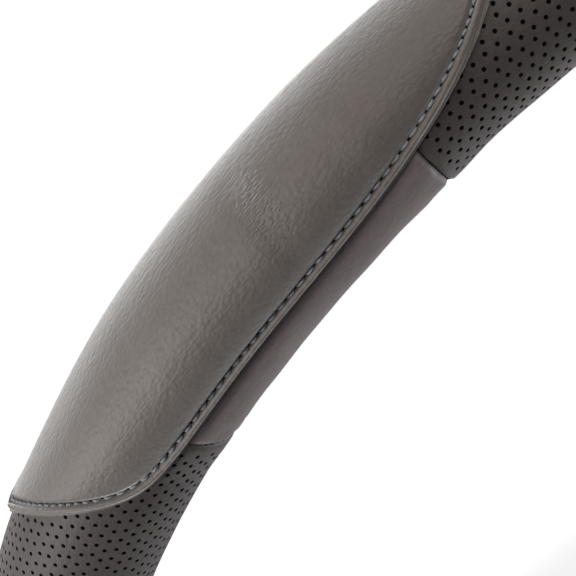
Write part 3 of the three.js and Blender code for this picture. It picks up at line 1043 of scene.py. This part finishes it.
@dataclass
class GripPanel:
    """The padded panel: folded bead, stitched groove and soft crown over foam.

    Each band is a pair: the two degrees between which a share eases, or the middle
    and the width of a bell.
    """

    side: Side
    columns: int = 150
    rows: int = 104
    clearance: float = 0.4 * MM
    thickness: float = 1.1 * MM
    bead: float = 1.5 * MM
    back_bead: float = 0.9 * MM
    bead_inset: float = 1.35 * MM
    edge_round: float = 0.30 * MM
    edge_height: float = 0.62 * MM
    lip_height: float = 0.22 * MM
    lip_width: float = 0.16 * MM
    hem_round: float = 1.0 * MM
    groove: float = 0.45 * MM
    groove_inset: float = 2.5 * MM
    groove_width: float = 0.55 * MM
    pad_inset: float = 8.6 * MM
    pad_share: float = 0.85
    pad_gap: float = 0.1 * MM
    back_rise: float = 0.45 * MM
    side_rise: float = 0.15 * MM
    front_rise: float = 3.0 * MM
    ease: float = 3.8 * MM
    soft_reach: float = 8.0 * MM
    soft_band: Band = (-30.0, 0.0)
    back_band: Band = (-84.0, -56.0)
    front_band: Band = (-40.0, 42.0)
    end_band: Band = (7.0, 19.0)
    end_slim: float = 0.8 * MM
    slow_dent: float = 0.07 * MM
    ripple: float = 0.018 * MM
    fold_wander: float = 1.2 * MM
    hollow: float = -0.22 * MM
    hollow_along: Band = (33.0 * MM, 7.0 * MM)
    hollow_around: Band = (7.0 * MM, 9.0 * MM)
    folds: tuple[tuple[float, float, float], ...] = (
        (-0.26 * MM, -9.6 * MM, 3.6 * MM), (0.20 * MM, -33.6 * MM, 3.0 * MM),
    )
    short_pitch: float = 2.0 * MM
    long_pitch: float = 3.1 * MM
    thread: float = 0.32 * MM
    pull: float = 0.08 * MM
    seat_low: float = 0.28 * MM
    seat_band: Band = (-48.0, -26.0)
    sewn: Band = (0.10, 0.86)
    slant: Band = (0.34 * MM, 0.05 * MM)
    arch_foot: float = -0.10 * MM
    arch: float = 0.62 * MM
    needle_mark: tuple[Band, ...] = ((0.48 * MM, -0.14 * MM), (0.40 * MM, 0.06 * MM))
    swell_step: int = 2
    swell_cap: float = 0.5 * MM
    pressure: float = 4.0
    frames: int = 20
    seed: int = 23

    @property
    def under(self) -> float:
        """Radius of the panel's under side at its edge."""
        return FORM.tube_radius + self.clearance

    def _inset_of(self, flat: Array) -> Array:
        """Distance of flat points in from the stitched outline, in metres."""
        edge = OUTLINE.flat_curve(0.0)[::3]
        low = np.stack([np.full(20, edge[0, 0]), np.linspace(-0.045, edge[0, 1], 20)], axis=-1)
        edge = np.concatenate([low, edge, low * np.array([-1.0, 1.0])])
        points = flat.reshape(-1, 2)
        apart = np.linalg.norm(points[:, None, :] - edge[None, :, :], axis=-1).min(axis=1)
        return apart.reshape(flat.shape[:-1])

    def crown(self, flat: Array) -> Array:
        """Lift of the panel over its foam, in metres.

        It eases up from the stitch line as 1 less e to the minus inset over the
        ease. The full lift is low on the outer side, more at the front and at the
        back, where the cover lies, and falls a little towards both ends.

        Args:
            flat: Flat points.

        Returns:
            The lift above the panel's own thickness.
        """
        ring, tube = (np.degrees(value) for value in OUTLINE.angles(flat))
        at_end = smoothstep(np.abs(ring), *self.end_band)
        back = (1.0 - smoothstep(tube, *self.back_band)) * (1.0 - 0.85 * at_end)
        full = self.side_rise + (self.back_rise - self.side_rise) * back
        full = full + (self.front_rise - self.side_rise) * smoothstep(tube, *self.front_band)
        full = full * (1.0 - 0.55 * smoothstep(np.abs(ring), 6.0, 23.0) * smoothstep(tube, -84.0, -60.0))
        eased = 1.0 - np.exp(-np.clip(self._inset_of(flat) - self.groove_inset, 0.0, None) / self.ease)
        hem = smoothstep(tube, OUTLINE.hem - 3.0, -96.0)
        slim = self.end_slim * at_end * smoothstep(tube, -104.0, -88.0)
        return (full * (0.45 + 0.55 * hem) - slim * (1.0 - smoothstep(tube, -25.0, 10.0))) * eased

    def dents(self, flat: Array) -> Array:
        """Slow dents of leather over foam, and soft folds across the panel.

        Each fold is a bell along the ring, from its height, place and width, that
        wanders a little; one oval hollow lies near the lower end.

        Args:
            flat: Flat points.

        Returns:
            Change of radius in metres, none at the back.
        """
        along, around = flat[..., 0], flat[..., 1]
        slow = self.slow_dent * soft_noise(along / 0.034, around / 0.026, self.seed)
        ripples = self.ripple * soft_noise(along / 0.009, around / 0.016, self.seed + 1)
        tube = np.degrees(around / FORM.tube_radius)
        wander = self.fold_wander * soft_noise(along * 0.0, around / 0.02, self.seed + 2, 3)
        across = smoothstep(tube, -40.0, 0.0)
        folds = sum(height * bump(along + wander, at, width) for height, at, width in self.folds) * across
        hollow = self.hollow * bump(along, *self.hollow_along) * bump(around, *self.hollow_around)
        return (slow + ripples + folds + hollow) * smoothstep(tube, -78.0, -50.0)

    def lift(self, flat: Array) -> Array:
        """Lift over the panel's own thickness: its crown, dented where it is high."""
        crown = self.crown(flat)
        return crown + self.dents(flat) * smoothstep(crown, 0.1 * MM, 0.9 * MM)

    def swell(self, radius: Array, flat: Array) -> Array:
        """Lets the panel's skin swell over its foam, by a cloth simulation.

        A sheet of every second point is pinned along its border and pressed
        outwards without gravity. Its movement is read along the radius, capped,
        and blended linearly back onto every point of the grid.

        Args:
            radius: Radius of the skin before it swells.
            flat: Flat points of the same grid.
        """
        coarse = (slice(None, None, self.swell_step), slice(None, None, self.swell_step))
        skin = Skin()
        grid = self._add(skin, radius[coarse], flat[coarse])
        skin.add_grid(grid)
        sheet = skin.build("swelling_sheet", [])
        pins = sheet.vertex_groups.new(name="border")
        pins.add(border(grid).tolist(), 1.0, "REPLACE")
        cloth = sheet.modifiers.new("cloth", "CLOTH")
        settings = {
            "quality": 5, "mass": 0.1, "vertex_group_mass": pins.name, "tension_stiffness": 40.0,
            "compression_stiffness": 40.0, "bending_stiffness": 2.0, "use_pressure": True,
            "uniform_pressure_force": self.pressure,
        }
        for label, value in settings.items():
            setattr(cloth.settings, label, value)
        cloth.settings.effector_weights.gravity = 0.0
        cloth.collision_settings.use_collision = False
        scene = bpy.context.scene
        for frame_number in range(1, self.frames + 1):
            scene.frame_set(frame_number)
        moved = sheet.evaluated_get(bpy.context.evaluated_depsgraph_get()).data
        points = np.empty(len(moved.vertices) * 3, dtype=np.float32)
        moved.vertices.foreach_get("co", points)
        points = points.reshape(*grid.shape, 3).astype(float)
        reach = np.hypot(points[..., 0], points[..., 1]) - FORM.centre_radius
        lift = np.hypot(reach, points[..., 2] - FORM.rest_height) - radius[coarse]
        LOG.info("swelling before the cap: up to %.2f mm", lift.max() / MM)
        lift = self.swell_cap * np.tanh(np.clip(lift, 0.0, None) / self.swell_cap)
        mesh = sheet.data
        bpy.data.objects.remove(sheet)
        bpy.data.meshes.remove(mesh)
        scene.frame_set(1)
        rows, columns = (np.arange(count) / self.swell_step for count in radius.shape)
        lift = np.stack([np.interp(columns, np.arange(lift.shape[1]), row) for row in lift])
        return np.stack([np.interp(rows, np.arange(lift.shape[0]), line) for line in lift.T], axis=-1)

    def edge_profile(self, inset: float, hem: Array, bead: Array) -> Array:
        """Thickness over the panel's under side, near its edge.

        A thin lip, a slope up to the bead's crest, then a groove for the stitches.
        Along the hem the edge is only rounded.

        Args:
            inset: Distance in from the outline, in metres.
            hem: 1 along the hem and 0 along the stitched edge.
            bead: Height of the bead.

        Returns:
            The thickness, in metres.
        """
        nose = math.sqrt(1.0 - (1.0 - min(inset / self.edge_round, 1.0)) ** 2)
        up = smoothstep(inset, self.edge_round + 0.05 * MM, self.bead_inset)
        crest = self.edge_height + (bead - self.edge_height) * up
        lip = self.lip_height * bump(inset, self.edge_round, self.lip_width)
        fall = smoothstep(inset, self.bead_inset + 0.25 * MM, self.groove_inset - 0.1 * MM)
        back = smoothstep(inset, self.groove_inset + 0.1 * MM, self.groove_inset + 1.1 * MM)
        stitched = nose * (crest + lip) - (bead - self.groove) * fall + (self.thickness - self.groove) * back
        plain = self.thickness * math.sqrt(1.0 - (1.0 - min(inset / self.hem_round, 1.0)) ** 2)
        return hem * plain + (1.0 - hem) * stitched

    def _stitch_line(self) -> tuple[Array, Array]:
        """The stitch line in flat points, and the count of stitches up to each.

        The count grows by the step over the pitch, which is short round both ends
        and long over the crest.

        Returns:
            Flat points, and the running count.
        """
        curve = OUTLINE.even(OUTLINE.flat_curve(self.groove_inset), 1600)
        curve = curve[np.degrees(curve[:, 1] / FORM.tube_radius) > OUTLINE.hem + 4.0]
        step = np.linalg.norm(np.diff(curve, axis=0), axis=1)
        tube = np.degrees(curve[:, 1] / FORM.tube_radius)
        over = smoothstep(tube, 22.0, 50.0)[1:]
        pitch = self.short_pitch + (self.long_pitch - self.short_pitch) * over
        return curve, np.concatenate([[0.0], np.cumsum(step / pitch)])

    def _round_edge(self) -> tuple[Array, Array]:
        """The hem's share and the bead's height, all round the edge.

        The share is 1 along the plain hem at the back and eases to 0 up both
        sides. The bead is lower past the outer side than at the front.

        Returns:
            The shares and the heights, one for each point of a loop.
        """
        tube = np.degrees(OUTLINE.angles(OUTLINE.loop(self.columns, self.rows, 0.0))[1])
        hem = 1.0 - smoothstep(tube, OUTLINE.hem + 1.0, OUTLINE.hem + 12.0)
        return hem, self.back_bead + (self.bead - self.back_bead) * smoothstep(tube, -58.0, -28.0)

    def _pucker(self, flat: Array) -> Array:
        """Small pulls of the thread: the leather dips a little at each stitch's end."""
        curve, count = self._stitch_line()
        nearest = np.linalg.norm(flat[:, None, :] - curve[None, ::4, :], axis=-1).argmin(axis=1)
        return np.cos(2.0 * np.pi * count[::4][nearest])

    def build(self, name: str, palette: Palette) -> bpy.types.Object:
        """Makes the panel as one closed skin.

        Loops follow the outline inwards over the bead and groove, then a blended
        grid crosses the middle; the under side follows a thickness below.

        Args:
            name: The piece's name.
            palette: The cover's materials.

        Returns:
            The finished object.
        """
        skin = Skin()
        hem, bead = self._round_edge()
        sheet = OUTLINE.sheet(self.columns, self.rows, self.pad_inset)
        top = self.under + self.thickness + self.lift(sheet)
        soft = smoothstep(self._inset_of(sheet), self.pad_inset, self.pad_inset + self.soft_reach)
        soft = soft * smoothstep(np.degrees(OUTLINE.angles(sheet)[1]), *self.soft_band)
        top = top + self.swell(top, sheet) * soft
        crown = self._add(skin, self._settle(top, sheet), sheet)
        skin.add_grid(crown)
        level = np.full(hem.shape, self.under)
        first = previous = self._add(skin, level, OUTLINE.loop(self.columns, self.rows, 0.0))
        skin.rims.append(first)
        close, wide = np.array([0.08, 0.18, 0.3, 0.42, 0.6]), np.arange(4.5, 8.4, 0.5)
        for inset in (np.concatenate([close, np.arange(0.8, 4.4, 0.2), wide]) * MM).tolist():
            flat = OUTLINE.loop(self.columns, self.rows, inset)
            near = float(bump(inset, self.groove_inset, self.groove_width))
            pull = self.pull * near * self._pucker(flat) * (1.0 - hem) if near > 0.02 else 0.0
            radius = self.under + self.edge_profile(inset, hem, bead) + self.lift(flat) - pull
            loop = self._add(skin, self._settle(radius, flat), flat)
            skin.add_loops(previous, loop)
            previous = loop
        skin.add_loops(previous, border(crown))
        below = self._add(skin, self.under + np.maximum(self.pad_share * self.crown(sheet) - self.pad_gap, 0.0), sheet)
        skin.add_grid(below[::-1])
        foot = self._add(skin, level, OUTLINE.loop(self.columns, self.rows, 5.0 * MM))
        skin.add_loops(border(below), foot)
        skin.add_loops(foot, first)
        return skin.build(name, [palette.grip], self.side)

    @staticmethod
    def _settle(radius: Array, flat: Array) -> Array:
        """Limits the radius at the back so that nothing sinks into the table."""
        tube = OUTLINE.angles(flat)[1]
        down = np.clip(-np.sin(tube), 1e-3, None)
        return np.where(tube < math.radians(-45.0), np.minimum(radius, FORM.rest_height / down), radius)

    @staticmethod
    def _add(skin: Skin, radius: Array, flat: Array) -> Array:
        """Adds flat points at a radius and returns their numbers."""
        ring, tube = OUTLINE.angles(flat)
        return skin.add_points(FORM.place(radius, tube, ring), flat)

    def build_foam(self, name: str, palette: Palette) -> bpy.types.Object:
        """Makes the foam between the panel and the leather under it.

        Args:
            name: The piece's name.
            palette: The cover's materials.

        Returns:
            The finished object.
        """
        skin = Skin()
        sheet = OUTLINE.sheet(self.columns // 2, self.rows // 2, self.pad_inset + 0.5 * MM)
        lift = self.pad_share * self.crown(sheet) - self.pad_gap
        top = self._add(skin, self.under + np.maximum(lift - 0.15 * MM, 0.12 * MM), sheet)
        low = self._add(skin, np.full(lift.shape, self.under + 0.02 * MM), sheet)
        skin.add_grid(top)
        skin.add_grid(low[::-1])
        skin.add_loops(border(low), border(top))
        return skin.build(name, [palette.foam], self.side)

    def build_stitches(self, name: str, palette: Palette) -> bpy.types.Object:
        """Makes the thread as a row of short arched stitches with their holes.

        Each stitch is a tube whose centre rises as a sine over its length and whose
        thickness swells in the middle; it lies a little askew. Between two stitches
        a dark rounded mark is painted shade standing for the needle's hole.

        Args:
            name: The piece's name.
            palette: The cover's materials.

        Returns:
            The finished object.
        """
        curve, count = self._stitch_line()
        number = int(count[-1])
        at = np.arange(2 * number + 1) / 2.0
        flat = np.stack([np.interp(at, count, axis) for axis in curve.T], axis=-1)
        ring, tube = OUTLINE.angles(flat)
        seat = FORM.place(self.under + self.groove, tube, ring)
        up = FORM.place(self.under + 2.0 * self.groove, tube, ring) - seat
        up = up / np.linalg.norm(up, axis=1, keepdims=True)
        start, end, outward = seat[0:-1:2], seat[2::2], up[1::2]
        run = end - start
        across = np.cross(run, outward)
        across = across / np.linalg.norm(across, axis=1, keepdims=True)
        draw = np.random.default_rng(self.seed + 7)
        slant = draw.normal(*self.slant, number)
        share = np.linspace(*self.sewn, 9)
        hump = np.sin(np.pi * (share - self.sewn[0]) / (self.sewn[1] - self.sewn[0]))
        height = self.arch_foot + self.arch * np.clip(hump, 0.0, None) ** 0.6
        low = self.seat_low * (1.0 - smoothstep(np.degrees(tube[1::2]), *self.seat_band))
        centre = (
            start[:, None, :] + run[:, None, :] * share[None, :, None]
            + outward[:, None, :] * (height[None, :] - low[:, None])[..., None]
            + across[:, None, :] * (slant[:, None] * (share - 0.5)[None, :])[..., None]
        )
        girth = self.thread * (0.62 + 0.38 * hump)
        turn = np.linspace(0.0, 2.0 * np.pi, 9)[:-1]
        ringed = (
            centre[:, :, None, :]
            + across[:, None, None, :] * (girth[:, None] * np.cos(turn)[None, :])[None, :, :, None]
            + outward[:, None, None, :] * (girth[:, None] * np.sin(turn)[None, :])[None, :, :, None]
        )
        lengths = np.zeros(ringed.shape[:-1] + (2,))
        lengths[..., 0] = (np.arange(number)[:, None, None] + share[None, :, None]) * self.long_pitch
        lengths[..., 1] = (turn * self.thread)[None, None, :]
        skin = Skin()
        skin.add_tubes(skin.add_points(ringed, lengths))
        self._add_needle_marks(skin, seat[2::2], up[2::2], across, turn)
        return skin.build(name, [palette.thread, palette.hole], self.side)

    def _add_needle_marks(self, skin: Skin, seat: Array, outward: Array, across: Array, turn: Array) -> None:
        """Adds a flat dark dome at the end of each stitch.

        Args:
            skin: Takes the points and faces.
            seat: Where the marks lie.
            outward: Directions out of the leather.
            across: Directions across the stitch line.
            turn: Angles of a mark's rim.
        """
        along = np.cross(outward, across)
        rim = []
        for size, height in self.needle_mark:
            spread = (
                across[:, None, :] * (0.85 * size * np.cos(turn))[None, :, None]
                + along[:, None, :] * (size * np.sin(turn))[None, :, None]
            )
            place = seat[:, None, :] + spread + outward[:, None, :] * height
            rim.append(skin.add_points(place, np.zeros(place.shape[:-1] + (2,))))
        low, high = rim
        # The domes take the near-black hole finish: painted shade for the needle holes.
        skin.add_faces(np.stack([low, np.roll(low, -1, 1), np.roll(high, -1, 1), high], axis=-1), 1)
        skin.add_faces(high, 1)
        skin.add_faces(low[:, ::-1], 1)


@dataclass(frozen=True)
class Viewpoint:
    """The photograph's camera, worked out from both outlines of the ring.

    It stands outside the ring and above it, looks at the tube at three o'clock,
    and is rolled so that the ring runs up to the right.
    """

    stands: tuple[float, float, float] = (0.50201, -0.11389, 0.22393)
    looks_along: tuple[float, float, float] = (-0.81810, 0.29206, -0.49540)
    roll: float = 219.93
    focal_pixels: float = 2011.6

    def place(self) -> bpy.types.Object:
        """Makes the camera and sets it as the scene's."""
        ahead = np.array(self.looks_along)
        level = np.cross(ahead, [0.0, 0.0, 1.0])
        level = level / np.linalg.norm(level)
        down = np.cross(ahead, level)
        roll = math.radians(self.roll)
        right, down = math.cos(roll) * level + math.sin(roll) * down, math.cos(roll) * down - math.sin(roll) * level
        data = bpy.data.cameras.new("camera")
        data.sensor_width = 36.0
        data.lens = 36.0 * self.focal_pixels / FRAME_PIXELS
        data.clip_start, data.clip_end = 0.01, 50.0
        camera = bpy.data.objects.new("camera", data)
        turned = Matrix(np.column_stack([right, -down, -ahead]).tolist()).to_4x4()
        turned.translation = Vector(self.stands)
        camera.matrix_world = turned
        bpy.context.scene.collection.objects.link(camera)
        bpy.context.scene.camera = camera
        return camera


@dataclass(frozen=True)
class Lamp:
    """A soft area lamp: its place from the grip that is seen, its size and power."""

    name: str
    spot: tuple[float, float, float]
    size: Band
    power: float

    def place(self) -> None:
        """Makes the lamp, turned towards that grip."""
        data = bpy.data.lights.new(self.name, "AREA")
        data.energy = self.power
        data.shape = "RECTANGLE"
        data.size, data.size_y = self.size
        lamp = bpy.data.objects.new(self.name, data)
        aim = Vector((FORM.centre_radius, 0.0, FORM.rest_height))
        lamp.location = aim + Vector(self.spot)
        lamp.rotation_mode = "QUATERNION"
        lamp.rotation_quaternion = (-Vector(self.spot)).to_track_quat("-Z", "Y")
        bpy.context.scene.collection.objects.link(lamp)


@dataclass
class Studio:
    """Floor, world and soft lamps."""

    floor_half: float = 8.0
    floor_drop: float = 0.2 * MM
    floor_glow: float = 0.84
    world_light: float = 0.03
    lamps: tuple[Lamp, ...] = (
        Lamp("key", (0.799, 1.384, 0.065), (1.0, 0.14), 14.0),
        Lamp("front", (1.344, 0.776, 0.38), (0.7, 0.7), 8.4),
        Lamp("rim", (-1.344, -0.776, 0.38), (0.7, 0.7), 14.5),
        Lamp("fill", (0.799, -1.384, 0.065), (1.0, 0.14), 9.5),
        Lamp("back", (-1.38, 0.0, 0.87), (0.9, 0.9), 2.2),
    )

    def build(self) -> None:
        """Makes the stage: pale floor, white world and five soft lamps."""
        skin = Skin()
        span = np.linspace(-self.floor_half, self.floor_half, 3)
        x, y = np.meshgrid(span, span)
        grid = skin.add_points(np.stack([x, y, np.full(x.shape, -self.floor_drop)], axis=-1), np.stack([x, y], axis=-1))
        skin.add_grid(grid)
        floor = skin.build("floor", [self._floor_material()])
        world = bpy.data.worlds.new("studio")
        bpy.context.scene.world = world
        world.use_nodes = True
        graph = Graph(world.node_tree)
        light = graph.tree.nodes["Background"]
        graph.feed(light.inputs["Color"], (1.0, 1.0, 1.0, 1.0))
        graph.feed(light.inputs["Strength"], self.world_light)
        seen = graph.add("Background", {"Strength": self._ceiling(graph)})
        both = graph.add("MixShader", {0: self._seen_ray(graph), 1: light.outputs[0], 2: seen.outputs[0]})
        graph.feed(graph.tree.nodes["World Output"].inputs["Surface"], both.outputs[0])
        for lamp in self.lamps:
            lamp.place()

    @staticmethod
    def _ceiling(graph: Graph) -> Socket:
        """White at the horizon, easing to a dark ceiling overhead."""
        where = graph.add("TexCoord").outputs["Generated"]
        height = graph.add("SeparateXYZ", {0: where}).outputs["Z"]
        return graph.ramp(height, 0.15, 0.55, 1.0, 0.06)

    @staticmethod
    def _seen_ray(graph: Graph) -> Socket:
        """1 for rays of the camera, of gloss and through glass, otherwise 0."""
        path = graph.add("LightPath").outputs
        gloss = graph.math("MAXIMUM", path["Is Camera Ray"], path["Is Glossy Ray"])
        return graph.math("MAXIMUM", gloss, path["Is Transmission Ray"])

    def _floor_material(self) -> bpy.types.Material:
        """Pale floor that the camera sees near white, with the cover's shadow."""
        graph, material, shader = Graph.of_material("pale_floor")
        graph.feed(shader["Base Color"], opaque((0.9, 0.9, 0.9)))
        graph.feed(shader["Roughness"], 1.0)
        graph.feed(shader["Specular IOR Level"], 0.0)
        graph.feed(shader["Emission Color"], (1.0, 1.0, 1.0, 1.0))
        graph.feed(shader["Emission Strength"], graph.math("MULTIPLY", self._seen_ray(graph), self.floor_glow))
        return material


@dataclass
class WheelCover:
    """The whole cover: rubber, wrapped leather and both grips."""

    palette: Palette = field(default_factory=Palette)

    def _keep(self, piece: bpy.types.Object, nodes: tuple[str, ...] = ()) -> None:
        """Declares a finished piece to the frame and reports it.

        Args:
            piece: The piece.
            nodes: The solids that it stands for.
        """
        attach(piece, "root")
        if nodes:
            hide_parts(*nodes)
        LOG.info("%s: %d faces", piece.name, len(piece.data.polygons))

    def build_ring(self) -> None:
        """Makes the rubber ring and the four leather sections."""
        self._keep(LinerRing().build("rubber_liner", self.palette), ("liner_ring",))
        half = 90.0 - FORM.seam_half
        for arc, node in ((Arc.TOP, "leather_top"), (Arc.BOTTOM, "leather_bottom")):
            made = PerforatedArc(arc, half).build("perforated_" + arc.name.lower(), self.palette)
            self._keep(made, (node,))
        for arc, node in ((Arc.RIGHT, "side_right"), (Arc.LEFT, "side_left")):
            made = SideSection(arc, FORM.seam_half).build("plain_" + arc.name.lower(), self.palette)
            self._keep(made, (node,))
        self._keep(SeamStitches().build("seam_stitches", self.palette))

    def build_grips(self) -> None:
        """Makes both grips with their foam and stitches."""
        for side in Side:
            word = side.name.lower()
            grip = GripPanel(side)
            self._keep(grip.build("panel_" + word, self.palette), ("grip_" + word,))
            self._keep(grip.build_foam("foam_" + word, self.palette), ("pad_" + word,))
            self._keep(grip.build_stitches("stitches_" + word, self.palette))


def main() -> None:
    """Builds the cover, its studio and the camera."""
    logging.basicConfig(level=logging.INFO, format="%(name)s: %(message)s")
    bpy.context.scene.view_settings.view_transform = "Standard"
    Viewpoint().place()
    Studio().build()
    cover = WheelCover()
    cover.build_ring()
    cover.build_grips()


if __name__ == "__main__":
    main()
